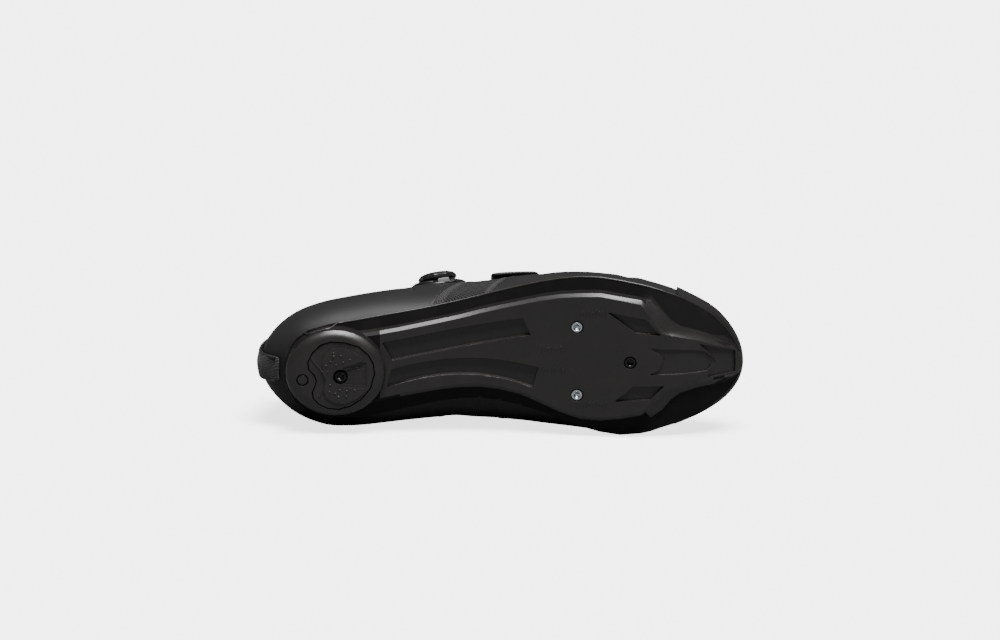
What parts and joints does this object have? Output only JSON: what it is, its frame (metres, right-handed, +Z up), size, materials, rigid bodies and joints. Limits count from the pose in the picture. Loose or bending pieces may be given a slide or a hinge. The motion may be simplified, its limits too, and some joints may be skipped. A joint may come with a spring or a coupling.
{
  "type": "cycling shoe",
  "caption": "Black road cycling shoe for the right foot, lying on its inner side with its stiff ribbed sole and heel pad towards the viewer.",
  "frame": {"origin": "bottom centre of the bounding box of the shoe as it lies on its inner side", "axes": "+X from heel to toe, +Z up from the floor through the inner and then the outer side, +Y away from the sole towards the collar"},
  "size_m": [0.2678, 0.113, 0.0884],
  "materials": {
    "sole_black": "moulded black nylon with a satin sheen",
    "insert_black": "matt moulded wearing pad",
    "upper_black": "smooth matt coated synthetic",
    "cap_black": "smooth welded toe overlay",
    "webbing_black": "ribbed woven tape with piped edges",
    "cloth_black": "knitted mesh and padded cloth",
    "lining_black": "flat knitted lining",
    "dial_black": "moulded plastic, low sheen",
    "housing_grey": "grey moulded plastic",
    "lace_black": "thin coated cord",
    "nut_steel": "bright turned steel",
    "dark_steel": "blackened steel"
  },
  "bodies": {
    "root": {"outsole": "sole_black", "heel_insert": "insert_black", "heel_button": "sole_black", "heel_screw": "dark_steel", "cleat_nut_outer": "nut_steel", "cleat_nut_inner": "nut_steel", "cleat_nut_front": "dark_steel", "upper": "upper_black", "toe_cap": "cap_black", "heel_tape": "webbing_black", "tongue": "cloth_black", "insole": "lining_black", "forefoot_strap": "cloth_black", "dial_base": "dial_black", "dial_knob": "dial_black", "dial_housing": "housing_grey", "lace_guide_rear": "dial_black", "lace_guide_outer": "dial_black", "lace_guide_front": "dial_black", "lace_bar_rear": "lace_black", "lace_bar_middle": "lace_black", "lace_bar_front": "lace_black"}
  },
  "joints": []
}
